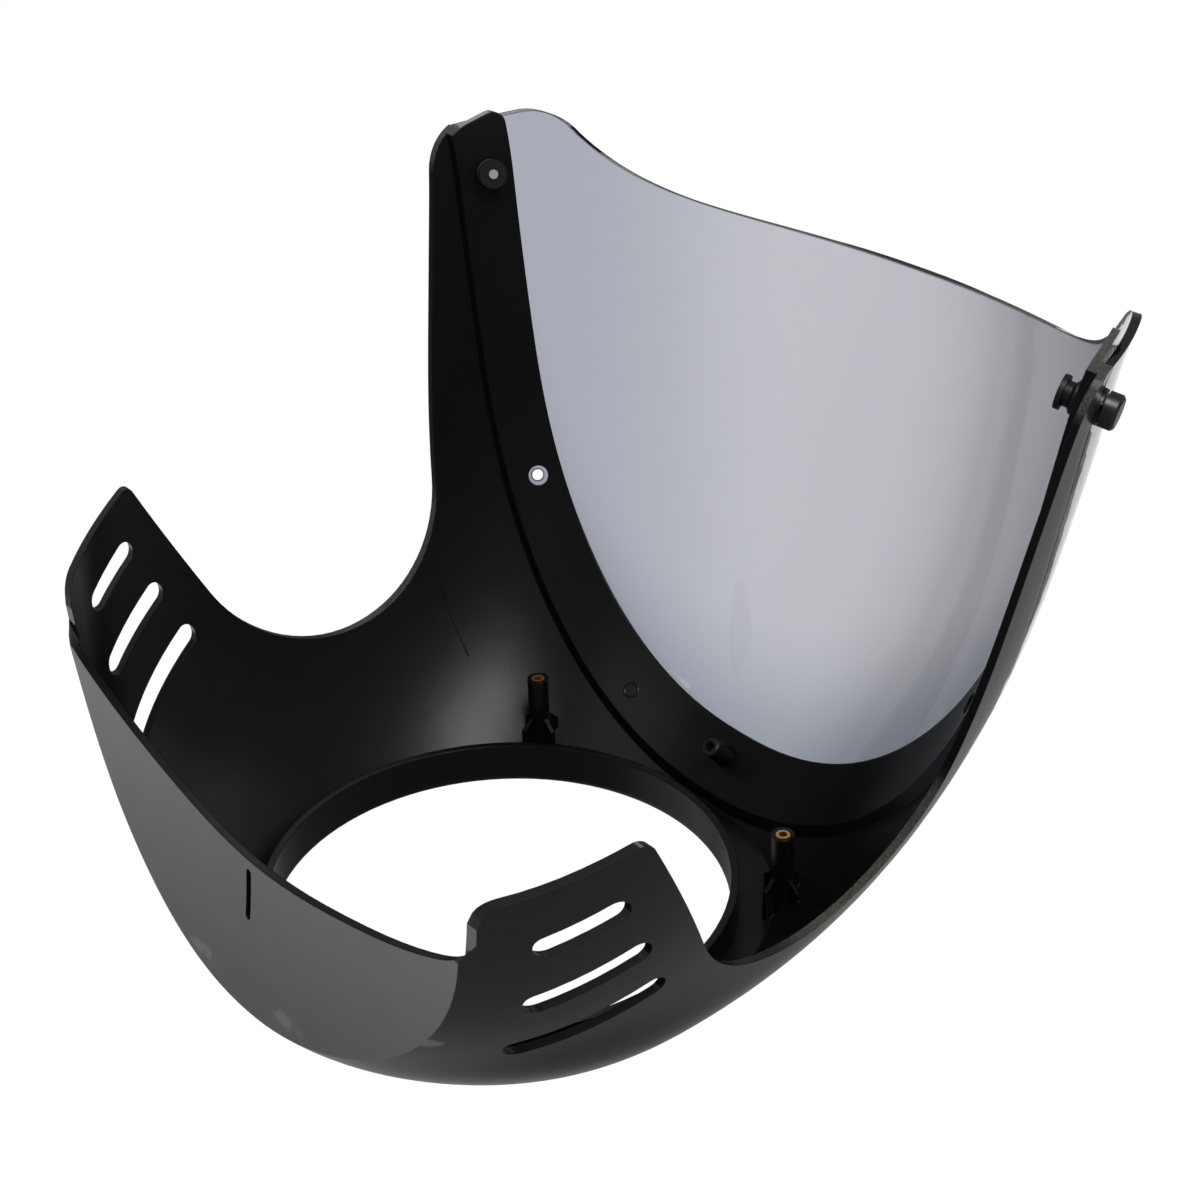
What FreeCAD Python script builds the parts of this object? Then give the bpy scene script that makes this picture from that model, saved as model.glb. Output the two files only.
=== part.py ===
# Motorcycle headlight fairing with its windscreen, in the frame of the motorcycle:
# X to the rider's left, Y back to the rider, Z up, origin at the centre of the headlight opening.
import FreeCAD, Part
import Sketcher
import math, os

Vector = FreeCAD.Vector
doc = FreeCAD.newDocument("headlight_fairing")

# Driving dimensions in millimetres, angles in degrees
SIZES = {
    # moulding and screen
    "wall": 3.0,
    "front_wall": 4.5,
    "screen_thickness": 3.0,
    "flange_wall": 2.5,
    "joggle_width": 3.5,
    "front_edge_radius": 4.0,
    # headlight opening
    "opening_radius": 87.5,
    "collar_wall": 3.0,
    "collar_back": 0.0,
    "collar_mouth_radius": 3.5,
    # face of the nose around the opening
    "nose_rim_side": 8.5,
    "nose_rim_top": 15.5,
    "nose_rim_bottom": 8.0,
    # seat of the screen and the flange under it: heights at the headlight plane, and their rise towards the rider
    "seat_height": 107.5,
    "seat_rise": 2.2,
    "flange_height": 15.5,
    "window_rise": 2.7,
    "screen_edge_gap": 0.6,
    # throat between arm and wing
    "throat_y": 97.9,
    "throat_z": 22.6,
    "throat_radius": 59.0,
    "arm_rise": 10.7,
    "wing_fall": 25.3,
    # end of the arms
    "arm_end_y": 225.0,
    "arm_end_lean": 70.0,
    "arm_end_low_radius": 24.0,
    "arm_end_top_radius": 4.0,
    # end of the wings
    "wing_peak_y": 127.3,
    "wing_end_lean": 24.0,
    "wing_peak_radius": 4.0,
    "wing_corner_z": -97.5,
    "wing_corner_radius": 10.0,
    "wing_corner_fall": 14.0,
    # bottom panel: its three stations, and the line of its rear lip from the middle outwards
    "floor_front_y": -10.0,
    "floor_front_z": -118.7,
    "floor_middle_y": 40.0,
    "floor_middle_z": -105.9,
    "floor_rear_y": 100.0,
    "floor_rear_z": -103.6,
    "lip_cut_z": -99.5,
    "lip_middle_x": 0.0,
    "lip_middle_y": 57.0,
    "lip_inner_x": 60.0,
    "lip_inner_y": 65.3,
    "lip_outer_x": 108.0,
    "lip_outer_y": 80.5,
    "lip_corner_x": 124.5,
    "lip_corner_y": 91.0,
    "lip_end_x": 130.5,
    "lip_end_y": 104.0,
    # air slots in the wings
    "slot_count": 3,
    "slot_width": 8.6,
    "slot_first_y": 102.6,
    "slot_first_z": -64.8,
    "slot_pitch_y": 20.7,
    "slot_pitch_z": 9.1,
    "slot_low_z": -82.5,
    "slot_lean": 63.0,
    # drain slot in the lip
    "drain_y": 43.5,
    "drain_length": 20.0,
    "drain_width": 3.0,
    # screw bosses beside the opening
    "boss_x": 73.8,
    "boss_z": 76.8,
    "boss_radius": 4.4,
    "boss_end_y": 21.6,
    "gusset_reach": 9.0,
    "gusset_height": 17.0,
    "gusset_thickness": 1.8,
    "insert_radius": 2.7,
    "insert_length": 8.0,
    "insert_bore_radius": 1.65,
    # rear edge of the screen
    "screen_rear_y": 228.0,
    "screen_tip_y": 231.2,
    "screen_tip_z": 142.0,
    "screen_tip_bulge": 3.4,
    "screen_sweep_y": 222.5,
    "screen_sweep_z": 160.0,
    "screen_dip_y": 200.0,
    "screen_dip_z": 182.5,
    "screen_top_y": 188.5,
    "screen_top_z": 212.0,
    # screen fasteners
    "top_site_y": 208.0,
    "middle_site_y": 81.5,
    "screen_hole_radius": 2.4,
    "flange_hole_radius": 4.2,
    "screw_radius": 1.9,
    "screw_length": 15.2,
    "screw_head_radius": 6.0,
    "screw_head_height": 5.2,
    "screw_head_bevel": 0.9,
    "screw_head_gap": 0.3,
    "nut_flange_radius": 6.2,
    "nut_flange_thickness": 1.0,
    "nut_flange_gap": 0.4,
    "nut_neck_radius": 4.0,
    "nut_bulge_radius": 5.8,
    "nut_bulge_length": 3.4,
    "nut_waist_radius": 4.2,
    "nut_waist_length": 2.2,
    "nut_end_radius": 5.8,
    "nut_end_thickness": 1.8,
    "nut_seat_gap": 0.15,
    "nut_relaxed_length": 12.5,
    "nut_end_bevel": 0.6,
    "nut_bore_radius": 2.3,
    "sleeve_radius": 3.2,
    "sleeve_length": 5.0,
    "sleeve_bore_radius": 2.0,
    "sleeve_cover": 0.8,
}

# Stations of the outer skin, front to back: place on Y, half width, top, bottom,
# height of the widest point, and the powers that round the section above and below it
MEASURES = ("y", "half_width", "top", "bottom", "middle", "upper_power", "lower_power")
STATIONS = {
    "nose": (-18.0, "=opening_radius + nose_rim_side", "=opening_radius + nose_rim_top",
             "=-opening_radius - nose_rim_bottom", -2.0, 2.2, 2.0),
    "brow": (10.0, 120.8, 132.0, -120.6, -1.0, 2.35, 2.2),
    "cheek": (45.0, 140.8, 154.4, -129.6, 1.0, 2.55, 2.7),
    "shoulder": (90.0, 156.0, 176.9, -132.9, 4.5, 2.7, 2.87),
    "arm": (150.0, 167.1, 201.9, -131.9, 21.0, 2.55, 2.75),
    "tail": (240.0, 182.0, 225.0, -126.5, 70.0, 2.1, 2.75),
}

RING_POINTS = 48
SECTION_COUNT = 10
NOSE_CROWDING = 1.5
SIDE_REACH = 220.0
OUT_OF_REACH = 300.0
CLEAR = 1.0
DRILL_START = 6.0
DRILL_LENGTH = 24.0
HALVINGS = 20


def fill_sheet():
    sheet = doc.addObject("Spreadsheet::Sheet", "sizes")
    cells = dict(SIZES)
    for station, values in STATIONS.items():
        for measure, value in zip(MEASURES, values):
            cells[f"{station}_{measure}"] = value
    for row, (alias, value) in enumerate(cells.items(), 1):
        sheet.set(f"A{row}", alias)
        sheet.set(f"B{row}", str(value))
        sheet.setAlias(f"B{row}", alias)
    doc.recompute()
    return sheet


sheet = fill_sheet()


def size(alias):
    return float(sheet.get(alias))


seat_depth = size("screen_thickness") + size("nut_flange_gap") + size("nut_flange_thickness") + size("nut_seat_gap")
flange_depth = seat_depth + size("flange_wall")


# Outer skin: each measure is a smooth curve over Y, read at any place
def station_curve(measure):
    places = [size(f"{station}_y") for station in STATIONS]
    points = [Vector(y, size(f"{station}_{measure}"), 0) for station, y in zip(STATIONS, places)]
    curve = Part.BSplineCurve()
    curve.interpolate(Points=points, Parameters=places)
    return curve


CURVES = {measure: station_curve(measure) for measure in MEASURES[1:]}


def measure_at(measure, y):
    return CURVES[measure].value(y).y


def inset(measure, y, depth):
    along = CURVES[measure].tangent(y)[0]
    slope = along.y / along.x
    return depth * math.sqrt(1 + slope * slope)


def section_shape(y, depth):
    return {
        "width": measure_at("half_width", y) - inset("half_width", y, depth),
        "top": measure_at("top", y) - inset("top", y, depth),
        "bottom": measure_at("bottom", y) + inset("bottom", y, depth),
        "middle": measure_at("middle", y),
        "upper": measure_at("upper_power", y),
        "lower": measure_at("lower_power", y),
    }


def section_wire(y, depth):
    shape = section_shape(y, depth)
    points = []
    for step in range(RING_POINTS):
        turn = 2 * math.pi * step / RING_POINTS - math.pi / 2
        across, rise = math.cos(turn), math.sin(turn)
        power = shape["upper"] if rise > 0 else shape["lower"]
        height = shape["top"] - shape["middle"] if rise > 0 else shape["middle"] - shape["bottom"]
        reach = (abs(across) ** power + abs(rise) ** power) ** (-1 / power)
        points.append(Vector(shape["width"] * reach * across, y, shape["middle"] + height * reach * rise))
    ring = Part.BSplineCurve()
    ring.interpolate(Points=points, PeriodicFlag=True,
                     Parameters=[step / RING_POINTS for step in range(RING_POINTS + 1)])
    return Part.Wire(ring.toShape())


def skin(depth, front, back):
    # sections crowd towards the nose, where the skin turns fastest
    places = [front + (back - front) * (i / (SECTION_COUNT - 1)) ** NOSE_CROWDING for i in range(SECTION_COUNT)]
    return Part.makeLoft([section_wire(y, depth) for y in places], True, False)


# Outlines in the side view, carried across the whole width
def side(y, z):
    return Vector(-SIDE_REACH, y, z)


def side_prism(edges):
    face = Part.Face(Part.Wire(Part.__sortEdges__(edges)))
    return face.extrude(Vector(2 * SIDE_REACH, 0, 0))


def polyline(points):
    return [Part.makeLine(a, b) for a, b in zip(points, points[1:])]


def rounded(before, corner, after, radius):
    # the arc that rounds a corner, with the two points where it leaves the straight lines
    back = (before - corner).normalize()
    ahead = (after - corner).normalize()
    half = back.getAngle(ahead) / 2
    start = corner + back * (radius / math.tan(half))
    end = corner + ahead * (radius / math.tan(half))
    middle = corner + (back + ahead).normalize() * (radius / math.sin(half) - radius)
    return start, Part.Arc(start, middle, end).toShape(), end


def slope(alias):
    return math.tan(math.radians(size(alias)))


def seat_z(y):
    return size("seat_height") + slope("seat_rise") * y


def window_z(y):
    return size("seat_height") + size("flange_height") + slope("window_rise") * y


def prism_between(low, high):
    front, back = -OUT_OF_REACH, OUT_OF_REACH
    corners = [side(front, low(front)), side(back, low(back)), side(back, high(back)), side(front, high(front))]
    return side_prism(polyline(corners + corners[:1]))


def shell_outline():
    lean = math.radians(size("wing_end_lean"))
    fall = math.radians(size("wing_fall"))
    rise = math.radians(size("arm_rise"))
    centre = side(size("throat_y"), size("throat_z"))
    radius = size("throat_radius")
    throat_low = centre + Vector(0, -math.sin(fall), -math.cos(fall)) * radius
    throat_high = centre + Vector(0, -math.sin(rise), math.cos(rise)) * radius
    throat = Part.Arc(throat_low, centre - Vector(0, radius, 0), throat_high).toShape()
    peak = throat_low + Vector(0, 1, -math.tan(fall)) * (size("wing_peak_y") - throat_low.y)
    wing_corner = peak + Vector(0, -math.tan(lean), -1) * (peak.z - size("wing_corner_z"))
    wing_foot = wing_corner + Vector(0, -1, -slope("wing_corner_fall")) * OUT_OF_REACH
    arm_corner = throat_high + Vector(0, 1, math.tan(rise)) * (size("arm_end_y") - throat_high.y)
    end_run = 1 / math.tan(math.radians(size("arm_end_lean")))
    end_height = (window_z(arm_corner.y) - arm_corner.z) / (1 - end_run * slope("window_rise"))
    arm_top = arm_corner + Vector(0, end_run, 1) * end_height
    front_top = side(-OUT_OF_REACH, window_z(-OUT_OF_REACH))
    front_foot = side(-OUT_OF_REACH, wing_foot.z)
    foot_in, foot_arc, foot_out = rounded(wing_foot, wing_corner, peak, size("wing_corner_radius"))
    peak_in, peak_arc, peak_out = rounded(wing_corner, peak, throat_low, size("wing_peak_radius"))
    low_in, low_arc, low_out = rounded(throat_high, arm_corner, arm_top, size("arm_end_low_radius"))
    top_in, top_arc, top_out = rounded(arm_corner, arm_top, front_top, size("arm_end_top_radius"))
    lines = [
        (front_top, front_foot), (front_foot, wing_foot), (wing_foot, foot_in), (foot_out, peak_in),
        (peak_out, throat_low), (throat_high, low_in), (low_out, top_in), (top_out, front_top),
    ]
    return [Part.makeLine(a, b) for a, b in lines] + [foot_arc, peak_arc, throat, low_arc, top_arc]


def floor_curve(raise_by):
    curve = Part.BSplineCurve()
    curve.interpolate([side(size(f"floor_{place}_y"), size(f"floor_{place}_z") + raise_by)
                       for place in ("front", "middle", "rear")])
    return curve.toShape()


def below_floor(raise_by):
    curve = floor_curve(raise_by)
    front, back = curve.Vertexes[0].Point, curve.Vertexes[-1].Point
    front_far = side(-OUT_OF_REACH, front.z)
    back_far = side(OUT_OF_REACH, back.z)
    outline = [back, back_far, side(OUT_OF_REACH, -OUT_OF_REACH), side(-OUT_OF_REACH, -OUT_OF_REACH), front_far, front]
    return side_prism(polyline(outline) + [curve])


def behind_lip():
    # everything behind the lip's rear edge, seen from below
    level = -OUT_OF_REACH
    half = [(size(f"lip_{place}_x"), size(f"lip_{place}_y")) for place in ("middle", "inner", "outer", "corner", "end")]
    right = [Vector(-x, y, level) for x, y in reversed(half[1:])]
    left = [Vector(x, y, level) for x, y in half]
    curve = Part.BSplineCurve()
    curve.interpolate(right + left)
    start, end = right[0], left[-1]
    back_right = Vector(start.x, OUT_OF_REACH, level)
    back_left = Vector(end.x, OUT_OF_REACH, level)
    edges = [curve.toShape()] + polyline([end, back_left, back_right, start])
    face = Part.Face(Part.Wire(Part.__sortEdges__(edges)))
    return face.extrude(Vector(0, 0, size("lip_cut_z") - level))


def air_slots():
    lean = slope("slot_lean")
    radius = size("slot_width") / 2
    cutters = []
    for row in range(int(size("slot_count"))):
        high = side(size("slot_first_y") - row * size("slot_pitch_y"), size("slot_first_z") + row * size("slot_pitch_z"))
        drop = high.z - size("slot_low_z")
        low = side(high.y - drop / lean, size("slot_low_z"))
        along = (high - low).normalize()
        across = Vector(0, -along.z, along.y) * radius
        edges = [
            Part.makeLine(low + across, high + across),
            Part.Arc(high + across, high + along * radius, high - across).toShape(),
            Part.makeLine(high - across, low - across),
            Part.Arc(low - across, low - along * radius, low + across).toShape(),
        ]
        cutters.append(side_prism(edges))
    return cutters


def drain_slot():
    radius = size("drain_width") / 2
    half = size("drain_length") / 2 - radius
    level = size("floor_front_z")
    depth = size("lip_cut_z") - level
    slot = Part.makeBox(2 * radius, 2 * half, depth, Vector(-radius, size("drain_y") - half, level))
    for end in (-half, half):
        slot = slot.fuse(Part.makeCylinder(radius, depth, Vector(0, size("drain_y") + end, level)))
    return slot.removeSplitter()


# Places on the skin where the screen is fastened, with the outward direction there
OUTER_SKIN = skin(0, size("nose_y"), size("tail_y"))


def skin_point(y, z):
    shape = section_shape(y, 0)
    height = (z - shape["middle"]) / (shape["top"] - shape["middle"])
    across = (1 - min(1.0, height) ** shape["upper"]) ** (1 / shape["upper"])
    return Vector(shape["width"] * across, y, z)


def skin_normal(y, z):
    point = skin_point(y, z)
    back = skin_point(y + CLEAR, z) - point
    down = point - skin_point(y, z - CLEAR)
    return back.cross(down).normalize()


def on_skin(point, normal):
    # the point where a line along the normal meets the skin as it was lofted
    line = Part.makeLine(point + normal * DRILL_START, point - normal * DRILL_START)
    inside = line.common(OUTER_SKIN)
    return max((corner.Point for corner in inside.Vertexes), key=normal.dot), normal


def side_site(y):
    # the axis leaves the screen so that it meets the flange midway between step and window
    middle = (seat_z(y) + window_z(y)) / 2
    z = middle + skin_normal(y, middle).z * flange_depth
    return on_skin(skin_point(y, z), skin_normal(y, z))


def bottom_site():
    # the place on the middle line where the axis meets the flange midway, found by halving
    low, high = size("nose_y"), size("cheek_y")
    for _ in range(HALVINGS):
        y = (low + high) / 2
        along = CURVES["top"].tangent(y)[0]
        normal = Vector(0, -along.y, along.x).normalize()
        point = Vector(0, y, measure_at("top", y))
        meets = point - normal * flange_depth
        if meets.z < (seat_z(meets.y) + window_z(meets.y)) / 2:
            low = y
        else:
            high = y
    return on_skin(point, normal)


def mirrored(site):
    point, normal = site
    return Vector(-point.x, point.y, point.z), Vector(-normal.x, normal.y, normal.z)


SITES = {
    "left": side_site(size("top_site_y")),
    "right": mirrored(side_site(size("top_site_y"))),
    "lower": bottom_site(),
}
EMPTY_SITES = [side_site(size("middle_site_y")), mirrored(side_site(size("middle_site_y")))]


def site_drills(radius):
    drills = []
    for point, normal in list(SITES.values()) + EMPTY_SITES:
        drills.append(Part.makeCylinder(radius, DRILL_LENGTH, point + normal * DRILL_START, normal * -1))
    return drills


# Moulded shell
def boss(outer):
    base_y = size("nose_y")
    foot = Vector(size("boss_x"), base_y, size("boss_z"))
    radius, reach = size("boss_radius"), size("gusset_reach")
    thick, tall = size("gusset_thickness"), size("gusset_height")
    post = Part.makeCylinder(radius, size("boss_end_y") - base_y, foot, Vector(0, 1, 0))
    web = [Vector(-reach, 0, 0), Vector(reach, 0, 0), Vector(reach, tall, 0), Vector(radius, tall + radius, 0),
           Vector(-radius, tall + radius, 0), Vector(-reach, tall, 0)]
    rib = Part.Face(Part.makePolygon(web + web[:1])).extrude(Vector(0, 0, thick))
    rib.translate(Vector(0, 0, -thick / 2))
    ribs = []
    for quarter in (0, 90):
        turned_rib = rib.copy()
        turned_rib.rotate(Vector(0, 0, 0), Vector(0, 1, 0), quarter)
        turned_rib.translate(foot)
        ribs.append(turned_rib)
    return post.multiFuse(ribs).common(outer).Solids[0]


def boss_drills():
    drills = []
    for hand in (1, -1):
        end = Vector(hand * size("boss_x"), size("boss_end_y"), size("boss_z"))
        inward = Vector(0, -1, 0)
        drills.append(Part.makeCylinder(size("insert_radius"), size("insert_length"), end, inward))
        drills.append(Part.makeCylinder(size("insert_bore_radius"), size("insert_length") + size("wall"), end, inward))
    return drills


def make_shell():
    nose, tail = size("nose_y"), size("tail_y")
    back = tail - size("wall")
    outer = skin(0, nose, back).cut(below_floor(0)).Solids[0]
    inner = skin(size("wall"), nose + size("front_wall"), tail).cut(below_floor(size("wall"))).Solids[0]
    seat = skin(seat_depth, nose + size("front_wall"), back)
    inside = skin(flange_depth, nose + size("front_wall"), tail)
    below_seat = prism_between(lambda y: -OUT_OF_REACH, seat_z)
    above_seat = prism_between(seat_z, lambda y: OUT_OF_REACH)
    joggle = prism_between(lambda y: seat_z(y) - size("joggle_width"), seat_z)
    wall_part = outer.cut(inner).common(below_seat)
    joggle_part = outer.cut(inside).common(joggle)
    flange_part = seat.cut(inside).common(above_seat)
    body = wall_part.multiFuse([joggle_part, flange_part])
    body = body.common(side_prism(shell_outline())).cut(behind_lip())
    left_boss = boss(outer)
    right_boss = left_boss.mirror(Vector(0, 0, 0), Vector(1, 0, 0))
    collar_length = size("collar_back") - nose
    collar = Part.makeCylinder(size("opening_radius") + size("collar_wall"), collar_length,
                               Vector(0, nose, 0), Vector(0, 1, 0))
    body = body.multiFuse([collar, left_boss, right_boss])
    cutters = [opening_cutter(), drain_slot()] + air_slots() + boss_drills() + site_drills(size("flange_hole_radius"))
    return round_front(body.cut(cutters).Solids[0])


def opening_cutter():
    # the headlight opening, with a mouth that flares to the front face
    radius, mouth = size("opening_radius"), size("collar_mouth_radius")
    front, back = size("nose_y"), size("collar_back") + CLEAR
    lip, throat = Vector(radius + mouth, front, 0), Vector(radius, front + mouth, 0)
    bend = Vector(radius + mouth * (1 - math.sqrt(0.5)), front + mouth * (1 - math.sqrt(0.5)), 0)
    straight = polyline([throat, Vector(radius, back, 0), Vector(0, back, 0), Vector(0, front - CLEAR, 0),
                         Vector(radius + mouth, front - CLEAR, 0), lip])
    profile = Part.Face(Part.Wire(Part.__sortEdges__(straight + [Part.Arc(lip, bend, throat).toShape()])))
    return profile.revolve(Vector(0, 0, 0), Vector(0, 1, 0), 360)


def round_front(body):
    # the outer loop of the front face, where it turns into the skin
    nose, beyond = size("nose_y"), size("opening_radius") + size("collar_mouth_radius") + CLEAR
    loop = [edge for edge in body.Edges if edge.BoundBox.YMax < nose + CLEAR / 2 and edge.BoundBox.XMax > beyond]
    return body.makeFillet(size("front_edge_radius"), loop)


# Windscreen
def screen_outline():
    gap = size("screen_edge_gap")
    front_low = side(-OUT_OF_REACH, seat_z(-OUT_OF_REACH) + gap)
    rear_low = side(size("screen_rear_y"), seat_z(size("screen_rear_y")) + gap)
    tip = side(size("screen_tip_y"), size("screen_tip_z"))
    sweep = side(size("screen_sweep_y"), size("screen_sweep_z"))
    dip = side(size("screen_dip_y"), size("screen_dip_z"))
    top = side(size("screen_top_y"), size("screen_top_z"))
    chord = (sweep - tip).normalize()
    shoulder = (tip + sweep) * 0.5 + Vector(0, chord.z, -chord.y) * size("screen_tip_bulge")
    above = side(top.y, OUT_OF_REACH)
    front_high = side(-OUT_OF_REACH, OUT_OF_REACH)
    curves = [Part.Arc(tip, shoulder, sweep).toShape(), Part.Arc(sweep, dip, top).toShape()]
    return polyline([front_low, rear_low, tip]) + curves + polyline([top, above, front_high, front_low])


def make_screen():
    nose, tail = size("nose_y"), size("tail_y")
    sheet_solid = OUTER_SKIN.cut(skin(size("screen_thickness"), nose, tail))
    trimmed = sheet_solid.common(side_prism(screen_outline()))
    return trimmed.cut(site_drills(size("screen_hole_radius")))


def shape_feature(name, shape):
    feature = doc.addObject("Part::Feature", name)
    feature.Shape = shape
    feature.Placement = FreeCAD.Placement()
    return feature


parts = [shape_feature("fairing_shell", make_shell()), shape_feature("windscreen", make_screen())]


# Turned pieces: a closed profile of radius and height, bound to the sheet and revolved about the piece's own axis
def turned(name, profile, placement):
    body = doc.addObject("PartDesign::Body", name)
    sketch = body.newObject("Sketcher::SketchObject", f"{name}_profile")
    plane = next(feature for feature in body.Origin.OriginFeatures if feature.Role == "XZ_Plane")
    sketch.AttachmentSupport = [(plane, "")]
    sketch.MapMode = "FlatFace"
    corners = [Vector(float(sheet.evalExpression(radius)), float(sheet.evalExpression(height)), 0)
               for radius, height in profile]
    for start, end in zip(corners, corners[1:] + corners[:1]):
        sketch.addGeometry(Part.LineSegment(start, end), False)
    for line in range(len(profile)):
        sketch.addConstraint(Sketcher.Constraint("Coincident", line, 2, (line + 1) % len(profile), 1))
    for line, (radius, height) in enumerate(profile):
        if corners[line].x == 0:
            sketch.addConstraint(Sketcher.Constraint("PointOnObject", line, 1, -2))
        else:
            across = sketch.addConstraint(Sketcher.Constraint("DistanceX", -1, 1, line, 1, corners[line].x))
            sketch.setExpression(f"Constraints[{across}]", radius)
        along = sketch.addConstraint(Sketcher.Constraint("DistanceY", -1, 1, line, 1, corners[line].y))
        sketch.setExpression(f"Constraints[{along}]", height)
    turn = body.newObject("PartDesign::Revolution", f"{name}_turn")
    turn.Profile = sketch
    turn.ReferenceAxis = (sketch, ["V_Axis"])
    turn.Angle = 360
    body.Placement = placement
    return body


def facing(point, direction):
    return FreeCAD.Placement(point, FreeCAD.Rotation(Vector(0, 0, 1), direction))


# Heights along a fastener, from the screen's outer face inwards
NUT_TOP = "-(sizes.screen_thickness + sizes.nut_flange_gap)"
NUT_SEAT = f"({NUT_TOP} - sizes.nut_flange_thickness)"
BULGE_TOP = f"({NUT_SEAT} - sizes.flange_wall - 3 * sizes.nut_seat_gap)"
BULGE_END = f"({BULGE_TOP} - sizes.nut_bulge_length)"
WAIST_END = f"({BULGE_END} - sizes.nut_waist_length)"
NUT_END = f"({WAIST_END} - sizes.nut_end_thickness)"
RELAXED_END = f"({NUT_SEAT} - sizes.flange_wall - sizes.nut_relaxed_length)"

SCREW = [
    ("0", "sizes.screw_head_height"),
    ("sizes.screw_head_radius - sizes.screw_head_bevel", "sizes.screw_head_height"),
    ("sizes.screw_head_radius", "sizes.screw_head_height - sizes.screw_head_bevel"),
    ("sizes.screw_head_radius", "sizes.screw_head_gap"),
    ("sizes.screw_radius", "sizes.screw_head_gap"),
    ("sizes.screw_radius", "-sizes.screw_length"),
    ("0", "-sizes.screw_length"),
]
NUT_HEAD = [
    ("sizes.nut_bore_radius", NUT_TOP),
    ("sizes.nut_flange_radius", NUT_TOP),
    ("sizes.nut_flange_radius", NUT_SEAT),
    ("sizes.nut_neck_radius", NUT_SEAT),
]
TIGHT_BODY = [
    ("sizes.nut_neck_radius", BULGE_TOP),
    ("sizes.nut_bulge_radius", f"{BULGE_TOP} - sizes.nut_bulge_length / 3"),
    ("sizes.nut_bulge_radius", f"{BULGE_END} + sizes.nut_bulge_length / 3"),
    ("sizes.nut_waist_radius", BULGE_END),
    ("sizes.nut_waist_radius", WAIST_END),
    ("sizes.nut_end_radius", WAIST_END),
    ("sizes.nut_end_radius", NUT_END),
]
RELAXED_BODY = [
    ("sizes.nut_neck_radius", f"{RELAXED_END} + sizes.nut_end_bevel"),
    ("sizes.nut_neck_radius - sizes.nut_end_bevel", RELAXED_END),
]


def nut_pocket(end):
    # the bore, with a pocket that holds the sleeve just inside the nut's end
    low = f"({end} + sizes.sleeve_cover)"
    high = f"({low} + sizes.sleeve_length)"
    pocket = [("sizes.nut_bore_radius", end), ("sizes.nut_bore_radius", low),
              ("sizes.sleeve_radius", low), ("sizes.sleeve_radius", high), ("sizes.nut_bore_radius", high)]
    sleeve = [("sizes.sleeve_bore_radius", high), ("sizes.sleeve_radius", high),
              ("sizes.sleeve_radius", low), ("sizes.sleeve_bore_radius", low)]
    return pocket, sleeve


BOSS_INSERT = [
    ("sizes.insert_bore_radius", "0"),
    ("sizes.insert_radius", "0"),
    ("sizes.insert_radius", "-sizes.insert_length"),
    ("sizes.insert_bore_radius", "-sizes.insert_length"),
]

# The side nuts are tightened and bulge; the lower one has kept its straight shape
for place, (point, normal) in SITES.items():
    body, end = (RELAXED_BODY, RELAXED_END) if place == "lower" else (TIGHT_BODY, NUT_END)
    pocket, sleeve = nut_pocket(end)
    parts.append(turned(f"screen_screw_{place}", SCREW, facing(point, normal)))
    parts.append(turned(f"well_nut_{place}", NUT_HEAD + body + pocket, facing(point, normal)))
    parts.append(turned(f"nut_sleeve_{place}", sleeve, facing(point, normal)))

for place, hand in (("left", 1), ("right", -1)):
    end = Vector(hand * size("boss_x"), size("boss_end_y"), size("boss_z"))
    parts.append(turned(f"boss_insert_{place}", BOSS_INSERT, facing(end, Vector(0, 1, 0))))

doc.recompute()

# Each piece is checked, then written under its own name
for feature in doc.Objects:
    if "Invalid" in feature.State or "Error" in feature.State:
        raise RuntimeError(f"{feature.Name} did not build: {feature.State}")

os.makedirs("parts", exist_ok=True)
for feature in parts:
    shape = feature.Shape
    if shape.isNull() or not shape.isValid() or len(shape.Solids) != 1:
        raise RuntimeError(f"{feature.Label} is not one sound solid")
    shape.exportStep(f"parts/{feature.Label}.step")
    print(feature.Label, round(shape.Volume), "mm3", shape.BoundBox)
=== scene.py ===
# %% [markdown]
# A headlight fairing with its smoked windscreen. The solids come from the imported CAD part, which is
# the frame: nothing in it is moved. This lesson gives every moulded, clear, rubber and brass piece
# its finish, sets up soft studio light, and puts the camera where the photographer stood.

# %% The frame
import bmesh
import bpy
import math
from mathutils import Matrix, Vector

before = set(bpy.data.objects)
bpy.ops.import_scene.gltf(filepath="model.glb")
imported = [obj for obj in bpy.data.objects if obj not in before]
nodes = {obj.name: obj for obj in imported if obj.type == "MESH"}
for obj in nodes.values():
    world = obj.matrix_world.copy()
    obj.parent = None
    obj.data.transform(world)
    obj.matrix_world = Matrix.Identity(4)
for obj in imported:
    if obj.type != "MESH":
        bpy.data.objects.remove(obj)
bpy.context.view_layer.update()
print("pieces in the frame:", sorted(nodes))

# %% [markdown]
# The photograph looks up into the fairing from behind and below, on the rider's right. A camera could
# be aimed with a Track To constraint, but here the aim and the roll are plain numbers, so its matrix
# is built from three axes: right, up and back.

# %% Camera
CAMERA_PLACE = Vector((-0.5315, 0.4844, -0.3727))
CAMERA_AIM = Vector((0.0124, 0.0906, 0.0621))
CAMERA_ROLL = math.radians(-1.63)
CAMERA_LENS = 63.42
SENSOR_WIDTH = 36
NEAREST_SEEN = 0.01
PICTURE_UP = Vector((0, 1, 0))

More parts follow.
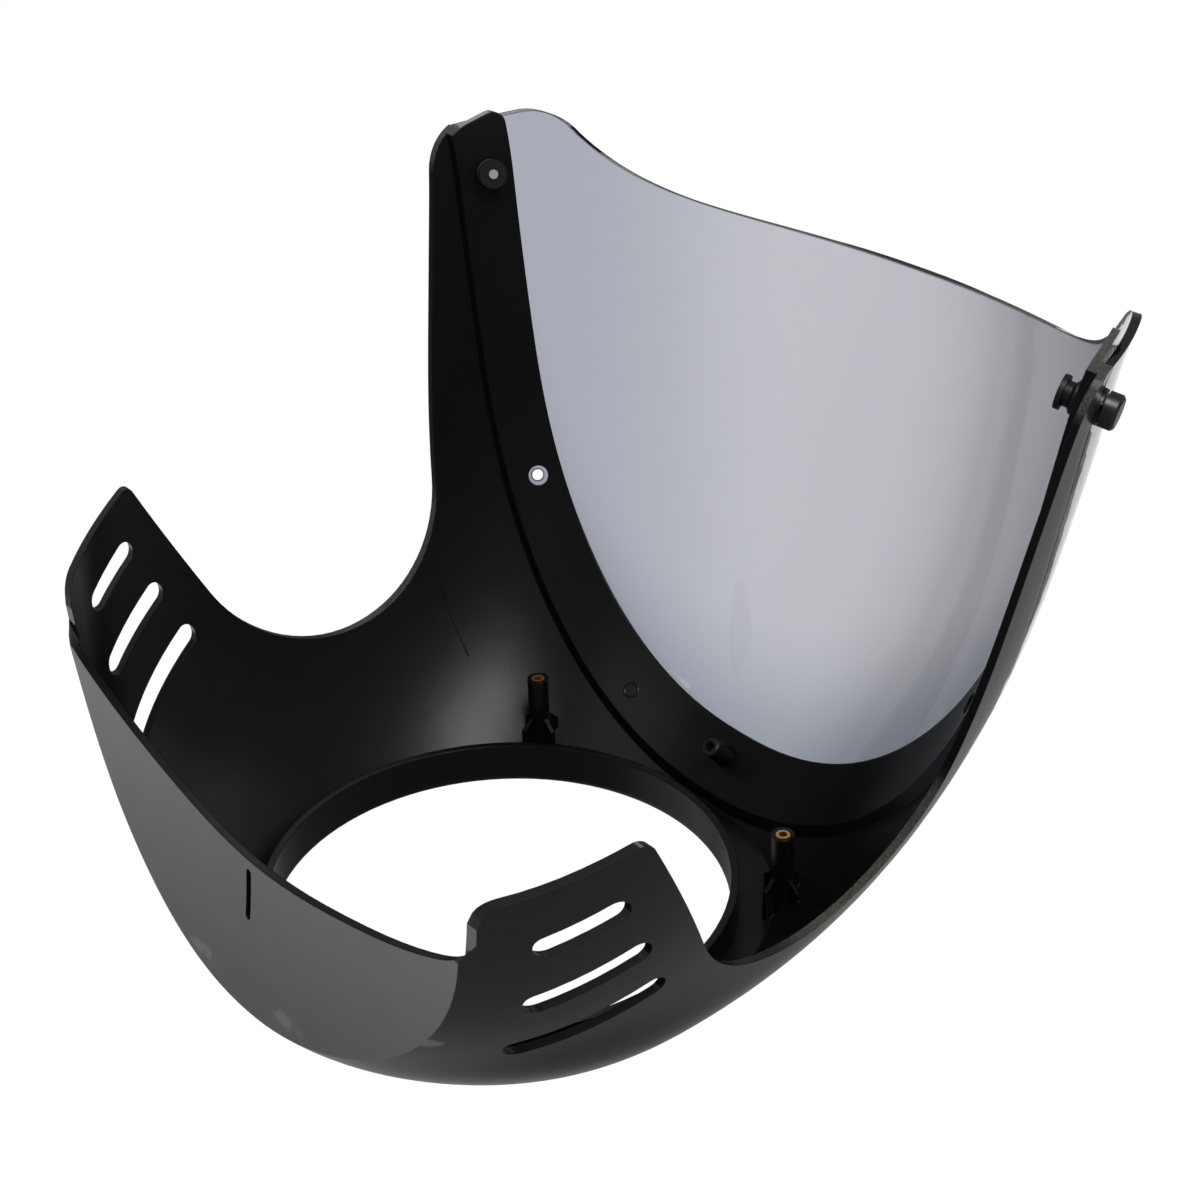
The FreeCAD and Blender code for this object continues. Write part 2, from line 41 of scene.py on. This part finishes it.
camera_data = bpy.data.cameras.new("photo_camera")
camera_data.lens = CAMERA_LENS
camera_data.sensor_width = SENSOR_WIDTH
camera_data.clip_start = NEAREST_SEEN
camera = bpy.data.objects.new("photo_camera", camera_data)
bpy.context.scene.collection.objects.link(camera)
forward = (CAMERA_AIM - CAMERA_PLACE).normalized()
right = forward.cross(PICTURE_UP).normalized()
up = right.cross(forward)
axes = Matrix((right, up, -forward)).transposed().to_4x4()
roll = Matrix.Rotation(CAMERA_ROLL, 4, "Z")
camera.matrix_world = Matrix.Translation(CAMERA_PLACE) @ axes @ roll
bpy.context.scene.camera = camera
print("camera stands", round((CAMERA_PLACE - CAMERA_AIM).length, 3), "m from its aim")

# %% [markdown]
# The world and the finishes are made of nodes. They could be set up line by line, but short helpers
# are easier to read: one adds a node and fills its inputs by name, the other adds a Math node. An
# input takes either a plain value or the socket of another node.

# %% Node helpers
def feed(tree, value, socket):
    if isinstance(value, bpy.types.NodeSocket):
        tree.links.new(value, socket)
    else:
        socket.default_value = value


def node(tree, kind, **inputs):
    made = tree.nodes.new(kind)
    for name, value in inputs.items():
        feed(tree, value, made.inputs[name])
    return made


def math_node(tree, operation, *values):
    made = tree.nodes.new("ShaderNodeMath")
    made.operation = operation
    for socket, value in zip(made.inputs, values):
        feed(tree, value, socket)
    return made.outputs[0]


print("node helpers:", feed.__name__, node.__name__, math_node.__name__)

# %% [markdown]
# The studio is white all round. The world is white where the camera or the clear screen looks at it,
# dimmer where it lights matt surfaces, and dim in reflections, so that black plastic stays black. The
# Light Path node tells these rays apart.

# %% World
WHITE = (1, 1, 1, 1)
SEEN_WHITE = 1.0
MATT_LIGHT = 0.8
GLOSS_LIGHT = 0.24

scene = bpy.context.scene
scene.view_settings.view_transform = "Standard"
world = bpy.data.worlds.new("white_studio")
scene.world = world
world.use_nodes = True
tree = world.node_tree
tree.nodes.clear()
path = node(tree, "ShaderNodeLightPath").outputs
unseen = node(tree, "ShaderNodeMix", Factor=path["Is Glossy Ray"], A=MATT_LIGHT, B=GLOSS_LIGHT)
seen = math_node(tree, "MAXIMUM", path["Is Camera Ray"], path["Is Transmission Ray"])
strength = node(tree, "ShaderNodeMix", Factor=seen, A=unseen.outputs["Result"], B=SEEN_WHITE)
background = node(tree, "ShaderNodeBackground", Color=WHITE, Strength=strength.outputs["Result"])
node(tree, "ShaderNodeOutputWorld", Surface=background.outputs[0])
print("world strengths:", SEEN_WHITE, MATT_LIGHT, GLOSS_LIGHT)

# %% [markdown]
# The stage is made of flat sheets. A plane could be added and scaled, but a sheet that is given its
# four corners needs no transform. Each sheet is told which rays pass it by unseen, so that it does
# only its own work.

# %% Sheet helpers
def new_finish(name, constants):
    finish = bpy.data.materials.new(name)
    finish.use_nodes = True
    shader = finish.node_tree.nodes["Principled BSDF"]
    for socket, value in constants.items():
        shader.inputs[socket].default_value = value
    return finish, finish.node_tree, shader


def rectangle(middle, side, rise, side_range, rise_range):
    (left, far_right), (low, high) = side_range, rise_range
    steps = ((left, low), (far_right, low), (far_right, high), (left, high))
    return [middle + side * a + rise * b for a, b in steps]


def flat_sheet(name, corners, finish, unseen_by):
    bm = bmesh.new()
    bm.faces.new([bm.verts.new(corner) for corner in corners])
    mesh = bpy.data.meshes.new(name)
    bm.to_mesh(mesh)
    bm.free()
    mesh.materials.append(finish)
    sheet = bpy.data.objects.new(name, mesh)
    scene.collection.objects.link(sheet)
    for ray in unseen_by:
        setattr(sheet, "visible_" + ray, False)


print("sheet helpers:", new_finish.__name__, rectangle.__name__, flat_sheet.__name__)

# %% [markdown]
# The fairing is made to be screwed to a motorcycle, so it hangs in its own frame, well above a plain
# pale floor. A white board lies between them, in front and on the left, and gives the underside a grey
# sheen. The floor is left out of reflections, and the board out of direct view and shadows.

# %% Floor and board
PAPER = {"Base Color": (0.86, 0.86, 0.86, 1), "Roughness": 0.7}
FLOOR_HEIGHT = -1.3
FLOOR_RANGE = (-6, 6)
BOARD_HEIGHT = -0.75
BOARD_X_RANGE = (0.35, 4)
BOARD_Y_RANGE = (-4, -0.34)

paper_finish = new_finish("white_paper", PAPER)[0]


def paper_sheet(name, height, x_range, y_range, unseen_by):
    corners = rectangle(Vector((0, 0, height)), Vector((1, 0, 0)), Vector((0, 1, 0)), x_range, y_range)
    flat_sheet(name, corners, paper_finish, unseen_by)


paper_sheet("floor", FLOOR_HEIGHT, FLOOR_RANGE, FLOOR_RANGE, ["glossy"])
paper_sheet("white_board", BOARD_HEIGHT, BOARD_X_RANGE, BOARD_Y_RANGE, ["camera", "diffuse", "shadow"])
print("floor at", FLOOR_HEIGHT, "m, board at", BOARD_HEIGHT, "m")

# %% [markdown]
# Area lamps stand in for the softboxes. Each is aimed at the hollow of the fairing. Area lamps also
# show up in gloss, so they draw the soft highlights on the black plastic.

# %% Softboxes
LAMP_AIM = Vector((0.03, 0.06, 0.03))
SOFTBOXES = {  # the place and the side in metres, the power in watts
    "rear_right_box": ((-0.66, 1.27, -0.05), 0.5, 15),
    "rear_left_box": ((0.95, 1.05, 0.5), 0.6, 1.8),
    "low_rear_box": ((0.24, 1.21, -0.74), 0.8, 3),
}

for name, (place, side, power) in SOFTBOXES.items():
    lamp_data = bpy.data.lights.new(name, "AREA")
    lamp_data.shape = "SQUARE"
    lamp_data.size = side
    lamp_data.energy = power
    lamp = bpy.data.objects.new(name, lamp_data)
    scene.collection.objects.link(lamp)
    turn = (LAMP_AIM - Vector(place)).to_track_quat("-Z", "Y")
    lamp.matrix_world = Matrix.Translation(place) @ turn.to_matrix().to_4x4()
print("softboxes:", len(SOFTBOXES))

# %% [markdown]
# Seen almost edge on, the screen mirrors what stands behind it. A white card there makes its rim melt
# into the background, as it does in the photograph. It could be a lamp, but a card that glows no
# brighter than white lights nothing else, and only reflections see it.

# %% White card
CARD_SIDE = Vector((0.62, 0.78, 0))
CARD_UNSEEN_BY = ["camera", "diffuse", "transmission", "shadow"]
GLOW = {"Base Color": (0, 0, 0, 1), "Specular IOR Level": 0.0,
        "Emission Color": WHITE, "Emission Strength": SEEN_WHITE}
WHITE_CARD_MIDDLE = Vector((0.645, -0.455, 1.21))
WHITE_CARD_LOOKS_AT = Vector((-0.165, 0.19, 0.12))
WHITE_CARD_HALF = 0.36


def make_card(name, middle, looks_at, half):
    facing = (looks_at - middle).normalized()
    rise = facing.cross(CARD_SIDE).normalized()
    side = rise.cross(facing)
    finish, tree, shader = new_finish(name, GLOW)
    reach = (-half, half)
    flat_sheet(name, rectangle(middle, side, rise, reach, reach), finish, CARD_UNSEEN_BY)
    return tree, shader


make_card("white_card", WHITE_CARD_MIDDLE, WHITE_CARD_LOOKS_AT, WHITE_CARD_HALF)
print("white card half width", WHITE_CARD_HALF, "m")

# %% [markdown]
# A finish that changes over a surface needs masks, which are numbers from 0 to 1. A smooth Map Range
# turns any measure into a mask, and a Mix node blends two colours by it. The measures come from
# Object coordinates, so a mask stays on its piece when the piece is moved.

# %% Mask helpers
COLOUR_INPUTS = (0, 6, 7)
COLOUR_OUTPUT = 2
NUMBER_RESULTS = ("DISTANCE", "DOT_PRODUCT")


def object_place(tree):
    return node(tree, "ShaderNodeTexCoord").outputs["Object"]


def vector_node(tree, operation, first, second):
    made = tree.nodes.new("ShaderNodeVectorMath")
    made.operation = operation
    feed(tree, first, made.inputs[0])
    feed(tree, second, made.inputs[1])
    return made.outputs["Value" if operation in NUMBER_RESULTS else "Vector"]


def ramp(tree, value, low, high):
    made = tree.nodes.new("ShaderNodeMapRange")
    made.interpolation_type = "SMOOTHSTEP"
    feed(tree, value, made.inputs["Value"])
    feed(tree, low, made.inputs["From Min"])
    feed(tree, high, made.inputs["From Max"])
    return made.outputs["Result"]


def blend(tree, factor, first, second):
    made = tree.nodes.new("ShaderNodeMix")
    made.data_type = "RGBA"
    for index, value in zip(COLOUR_INPUTS, (factor, first, second)):
        feed(tree, value, made.inputs[index])
    return made.outputs[COLOUR_OUTPUT]


print("mask helpers:", vector_node.__name__, ramp.__name__, blend.__name__)

# %% [markdown]
# In front of the nose the studio is darker. A grey card stands there for reflections. It fades from
# dark grey in its middle to the grey of the world at its rim, so that no edge of it shows on the gloss.

# %% Grey card
GREY_MIDDLE = Vector((0.3, -1.38, 0.5))
GREY_LOOKS_AT = Vector((-0.1, 0.03, -0.05))
GREY_HALF = 0.85
GREY_CORE = 0.1
GREY_DARK = (0.07, 0.07, 0.07, 1)
GREY_RIM = (GLOSS_LIGHT, GLOSS_LIGHT, GLOSS_LIGHT, 1)

tree, shader = make_card("grey_card", GREY_MIDDLE, GREY_LOOKS_AT, GREY_HALF)
from_middle = vector_node(tree, "DISTANCE", object_place(tree), GREY_MIDDLE)
to_rim = ramp(tree, from_middle, GREY_CORE, GREY_HALF)
tree.links.new(blend(tree, to_rim, GREY_DARK, GREY_RIM), shader.inputs["Emission Color"])
print("grey card half width", GREY_HALF, "m")

# %% [markdown]
# Through the left of the screen, as the camera sees it, the studio looks greyer and bluer than through
# the middle. A grey backdrop stands there, square to the camera and far behind the screen, and only
# light that has passed the screen shows it. It fades to white towards the middle.

# %% Backdrop
BACKDROP_FAR = 1.58
BACKDROP_ACROSS = (-0.2, 0.17)
BACKDROP_RISE = (-0.25, 0.5)
BACKDROP_FADE = (-0.01, 0.15)
BACKDROP_GREY = (0.755, 0.765, 0.815, 1)
BACKDROP_UNSEEN_BY = ["camera", "diffuse", "glossy", "shadow"]

middle = CAMERA_PLACE + forward * BACKDROP_FAR
corners = rectangle(middle, right, up, BACKDROP_ACROSS, BACKDROP_RISE)
backdrop_finish, tree, shader = new_finish("backdrop", GLOW)
from_middle = vector_node(tree, "SUBTRACT", object_place(tree), middle)
faded = ramp(tree, vector_node(tree, "DOT_PRODUCT", from_middle, right), *BACKDROP_FADE)
tree.links.new(blend(tree, faded, BACKDROP_GREY, WHITE), shader.inputs["Emission Color"])
flat_sheet("backdrop", corners, backdrop_finish, BACKDROP_UNSEEN_BY)
print("backdrop", BACKDROP_FAR, "m from the camera")

# %% [markdown]
# The shell is one black moulding, polished outside and duller inside, where the mould was not
# polished. The solid has no seam between the two, so the shader tells them apart: a face that looks
# away from the middle of the hollow is outside, and gets a clear coat.

# %% Shell finish
HOLLOW_MIDDLE = (0.0, 0.11, 0.02)
OUTSIDE_FADE = (-0.005, 0.015)
CLOUD_SCALE = 14.0
CLOUD_DETAIL = 2.0
ROUGHNESS_SPREAD = 0.14
ROUGHNESS_LEAST = 0.24
MOULDING = {"Coat Roughness": 0.07, "Coat IOR": 1.5, "Specular IOR Level": 0.13}


def noise(tree, place, scale, detail):
    made = node(tree, "ShaderNodeTexNoise", Vector=place, Scale=scale, Detail=detail)
    return made.outputs["Fac"]


shell_finish, tree, shader = new_finish("black_moulding", MOULDING)
place = object_place(tree)
face = node(tree, "ShaderNodeNewGeometry").outputs["Normal"]
from_middle = vector_node(tree, "SUBTRACT", place, HOLLOW_MIDDLE)
outside = ramp(tree, vector_node(tree, "DOT_PRODUCT", from_middle, face), *OUTSIDE_FADE)
cloud = noise(tree, place, CLOUD_SCALE, CLOUD_DETAIL)
rough = math_node(tree, "MULTIPLY_ADD", cloud, ROUGHNESS_SPREAD, ROUGHNESS_LEAST)
tree.links.new(rough, shader.inputs["Roughness"])
tree.links.new(outside, shader.inputs["Coat Weight"])
nodes["fairing_shell"].data.materials[0] = shell_finish
print("shell finish:", len(tree.nodes), "nodes")

# %% [markdown]
# The arms were trimmed by hand after moulding, so their cut edges are a rough olive grey. They could
# be faces with a material of their own, but a mask needs no change to the solid. The cutter moved
# straight across the fairing, so a cut face looks back to the rider, and the sideways part of its
# normal is nearly nothing.

# %% Cut edges
ARM_ACROSS = (0.1, 0.115)
ARM_HEIGHT = (0.0, 0.04)
LOOKS_BACK = (0.2, 0.4)
LOOKS_SIDEWAYS = (0.03, 0.1)
TORN_SCALE = 1500.0
TORN_DETAIL = 3.0
TORN_FADE = (0.15, 0.7)


def opposite(tree, mask):
    return math_node(tree, "SUBTRACT", 1.0, mask)


def product(tree, *masks):
    result = masks[0]
    for mask in masks[1:]:
        result = math_node(tree, "MULTIPLY", result, mask)
    return result


place_parts = node(tree, "ShaderNodeSeparateXYZ", Vector=place).outputs
face_parts = node(tree, "ShaderNodeSeparateXYZ", Vector=face).outputs
across = math_node(tree, "ABSOLUTE", place_parts["X"])
on_arm = product(tree, ramp(tree, across, *ARM_ACROSS), ramp(tree, place_parts["Z"], *ARM_HEIGHT))
sideways = ramp(tree, math_node(tree, "ABSOLUTE", face_parts["X"]), *LOOKS_SIDEWAYS)
looks_back = ramp(tree, face_parts["Y"], *LOOKS_BACK)
torn = ramp(tree, noise(tree, place, TORN_SCALE, TORN_DETAIL), *TORN_FADE)
cut = product(tree, opposite(tree, sideways), looks_back, on_arm, torn)
print("cut edges lie further out than", ARM_ACROSS[0], "m")

# %% [markdown]
# Two pale smudges lie under the nose. They could be painted on a picture, but each is only a long soft
# patch around a point, broken up by noise.

# %% Smudges and colour
BLACK = (0.0022, 0.0022, 0.0024, 1)
CUT_GREY = (0.042, 0.042, 0.036, 1)
SMUDGE_GREY = (0.04, 0.039, 0.034, 1)
SMUDGES = [(0.0246, 0.0080, -0.1129), (-0.0284, 0.0098, -0.1124)]
SMUDGE_STRETCH = Vector((1, 4, 1))
SMUDGE_FADE = (0.005, 0.013)
PATCH_SCALE = 130.0
PATCH_DETAIL = 4.0
PATCH_FADE = (0.36, 0.56)

patchy = ramp(tree, noise(tree, place, PATCH_SCALE, PATCH_DETAIL), *PATCH_FADE)
stretched = vector_node(tree, "MULTIPLY", place, SMUDGE_STRETCH)
near = []
for point in SMUDGES:
    away = vector_node(tree, "DISTANCE", stretched, Vector(point) * SMUDGE_STRETCH)
    near.append(opposite(tree, ramp(tree, away, *SMUDGE_FADE)))
smudge = product(tree, math_node(tree, "MAXIMUM", *near), patchy)
shell_colour = blend(tree, smudge, blend(tree, cut, BLACK, CUT_GREY), SMUDGE_GREY)
tree.links.new(shell_colour, shader.inputs["Base Color"])
print("smudges:", len(SMUDGES))

# %% [markdown]
# Small marks of the mould: the ring of an ejector pin on the seat of the screen, and a fine line
# beside the left arm. They could be cut into the mesh, but they are so shallow that a bump is enough.
# The Bevel node rounds the shell's edges in the shading only, and a second bump gives the fine grain.

# %% Mould marks and grain
PIN_POINT = (0.0554, 0.0097, 0.1119)
PIN_RADIUS = 0.0030
PIN_RING = 0.0005
LINE_STARTS = (0.1113, 0.1143)
LINE_STOPS = (0.1335, 0.1375)
LINE_HEIGHT = 0.0688
LINE_FADE = (0.0001, 0.0005)
EDGE_ROUNDING = 0.0009
EDGE_SAMPLES = 6
BUMP_DEPTH = 0.0004
MARK_STRENGTH = 0.5
GRAIN_STRENGTH = 0.05
GRAIN_SCALE = 900.0
GRAIN_DETAIL = 3.0
CUT_COARSENESS = 3.0


def between(tree, value, rise, fall):
    return product(tree, ramp(tree, value, *rise), opposite(tree, ramp(tree, value, *fall)))


from_pin = vector_node(tree, "DISTANCE", place, PIN_POINT)
ring = between(tree, from_pin, (PIN_RADIUS - PIN_RING, PIN_RADIUS), (PIN_RADIUS, PIN_RADIUS + PIN_RING))
off_line = math_node(tree, "ABSOLUTE", math_node(tree, "SUBTRACT", place_parts["Z"], LINE_HEIGHT))
on_line = opposite(tree, ramp(tree, off_line, *LINE_FADE))
beside_arm = between(tree, place_parts["X"], LINE_STARTS, LINE_STOPS)
line = product(tree, on_line, beside_arm, opposite(tree, outside))
marks = math_node(tree, "MAXIMUM", ring, line)
soft_edges = node(tree, "ShaderNodeBevel", Radius=EDGE_ROUNDING)
soft_edges.samples = EDGE_SAMPLES
marked = node(tree, "ShaderNodeBump", Strength=MARK_STRENGTH, Distance=BUMP_DEPTH,
              Height=marks, Normal=soft_edges.outputs[0])
grain = noise(tree, place, GRAIN_SCALE, GRAIN_DETAIL)
surface = math_node(tree, "MULTIPLY_ADD", cut, CUT_COARSENESS, grain)
grained = node(tree, "ShaderNodeBump", Strength=GRAIN_STRENGTH, Distance=BUMP_DEPTH,
               Height=surface, Normal=marked.outputs[0])
tree.links.new(grained.outputs[0], shader.inputs["Normal"])
print("shell finish:", len(tree.nodes), "nodes")

# %% [markdown]
# The screen is a smoked clear sheet. Transmission makes it clear, and its base colour is the smoke. A
# slanted look goes through more of the sheet, so the smoke darkens there, which the Layer Weight node
# measures. Low down on the rider's right the screen is also darker: that darkening is painted shade.

# %% Screen finish
SMOKE_BY_SLANT = [(0.0, 0.55), (0.19, 0.545), (0.24, 0.505), (0.35, 0.265), (0.42, 0.21), (1.0, 0.12)]
SMOKE_RED = 0.985
SMOKE_BLUE = 1.08
EVEN_SLANT = 0.5
LOW_PAINTED_SHADE = (0.6, 0.63, 0.67, 1)
LOW_SHADE_TILT = 0.12
LOW_SHADE_FADE = (0.122, 0.158)
CLEAR_SHEET = {"Roughness": 0.0, "IOR": 1.49, "Specular IOR Level": 0.3, "Transmission Weight": 1.0}

screen_finish, tree, shader = new_finish("smoked_sheet", CLEAR_SHEET)
place_parts = node(tree, "ShaderNodeSeparateXYZ", Vector=object_place(tree)).outputs
slant = node(tree, "ShaderNodeLayerWeight", Blend=EVEN_SLANT).outputs["Facing"]
depth = node(tree, "ShaderNodeValToRGB", Fac=slant)
stops = depth.color_ramp.elements
while len(stops) < len(SMOKE_BY_SLANT):
    stops.new(0.5)
for stop, (where, grey) in zip(stops, SMOKE_BY_SLANT):
    stop.position = where
    stop.color = (grey * SMOKE_RED, grey, grey * SMOKE_BLUE, 1)
# painted shade: the screen's colour is darkened low down on the rider's right
height = math_node(tree, "MULTIPLY_ADD", place_parts["X"], LOW_SHADE_TILT, place_parts["Z"])
shade = blend(tree, ramp(tree, height, *LOW_SHADE_FADE), LOW_PAINTED_SHADE, WHITE)
smoke_and_low_shade = vector_node(tree, "MULTIPLY", depth.outputs["Color"], shade)
nodes["windscreen"].data.materials[0] = screen_finish
print("screen finish:", len(tree.nodes), "nodes")

# %% [markdown]
# The cut edge of a smoked sheet looks dark. The Bevel node gives a normal that leans over close to an
# edge, so where this normal and the true one part, the smoke is mixed with a darker colour. The lower
# edge, in the gap above the shell, is painted dark all over as the shade of the gap: it is found by
# its height above the sloping seat.

# %% Screen edges and gap shade
DARK_RIM_AND_GAP_SHADE = (0.02, 0.02, 0.023, 1)
RIM_WIDTH = 0.0016
RIM_SAMPLES = 8
RIM_AGREEMENT = (0.9, 0.995)
SEAT_HEIGHT = 0.1075
SEAT_RISE = math.tan(math.radians(2.2))
SHADED_GAP_FADE = (0.0014, 0.0022)

face = node(tree, "ShaderNodeNewGeometry").outputs["Normal"]
leaning = node(tree, "ShaderNodeBevel", Radius=RIM_WIDTH)
leaning.samples = RIM_SAMPLES
agreement = vector_node(tree, "DOT_PRODUCT", face, leaning.outputs[0])
at_rim = opposite(tree, ramp(tree, agreement, *RIM_AGREEMENT))
seat = math_node(tree, "MULTIPLY_ADD", place_parts["Y"], SEAT_RISE, SEAT_HEIGHT)
above_seat = math_node(tree, "SUBTRACT", place_parts["Z"], seat)
# painted shade: the band of screen in the gap above the shell is darkened
in_shaded_gap = opposite(tree, ramp(tree, above_seat, *SHADED_GAP_FADE))
dark_rim_and_gap_shade = math_node(tree, "MAXIMUM", at_rim, in_shaded_gap)
# one dark colour serves the dark rim and the painted shade of the gap
tree.links.new(blend(tree, dark_rim_and_gap_shade, smoke_and_low_shade, DARK_RIM_AND_GAP_SHADE), shader.inputs["Base Color"])
print("dark rim", RIM_WIDTH, "m wide")

# %% [markdown]
# The well nuts are black rubber, their sleeves dull brass darkened nearly to black, which paints the
# shade in the nuts' bores, and the boss inserts turned brass. Each of these finishes is the same all
# over, so plain numbers on the shader are enough.

# %% Nuts, sleeves and inserts
RUBBER = {"Base Color": (0.004, 0.004, 0.0042, 1), "Roughness": 0.45, "Specular IOR Level": 0.25}
# painted shade: the sleeve brass is darkened nearly to black for the shade inside the bores
DULL_BRASS_WITH_BORE_SHADE = {"Base Color": (0.05, 0.04, 0.028, 1), "Metallic": 1.0, "Roughness": 0.5}
TURNED_BRASS = {"Base Color": (0.62, 0.33, 0.12, 1), "Metallic": 1.0, "Roughness": 0.42}


def dress(prefix, finish):
    dressed = [piece for name, piece in nodes.items() if name.startswith(prefix)]
    for piece in dressed:
        piece.data.materials[0] = finish
    print(finish.name, "on", len(dressed), "pieces")


dress("well_nut", new_finish("black_rubber", RUBBER)[0])
dress("nut_sleeve", new_finish("dull_brass_bore_shade", DULL_BRASS_WITH_BORE_SHADE)[0])
dress("boss_insert", new_finish("turned_brass", TURNED_BRASS)[0])

# %% [markdown]
# The screws are black, with bare steel where they come through the side nuts. Their bare ends could be
# pieces of their own, but each screw is one solid, so a mask finds them by how far out they lie.

# %% Screws
SCREW_BLACK = (0.006, 0.006, 0.0062, 1)
BARE_STEEL = (0.75, 0.74, 0.72, 1)
BARE_STARTS = (0.1, 0.11)
BARE_STOPS = (0.1515, 0.1525)

screw_finish, tree, shader = new_finish("black_screw", {"Roughness": 0.36})
place_parts = node(tree, "ShaderNodeSeparateXYZ", Vector=object_place(tree)).outputs
bare = between(tree, math_node(tree, "ABSOLUTE", place_parts["X"]), BARE_STARTS, BARE_STOPS)
tree.links.new(blend(tree, bare, SCREW_BLACK, BARE_STEEL), shader.inputs["Base Color"])
tree.links.new(bare, shader.inputs["Metallic"])
dress("screen_screw", screw_finish)
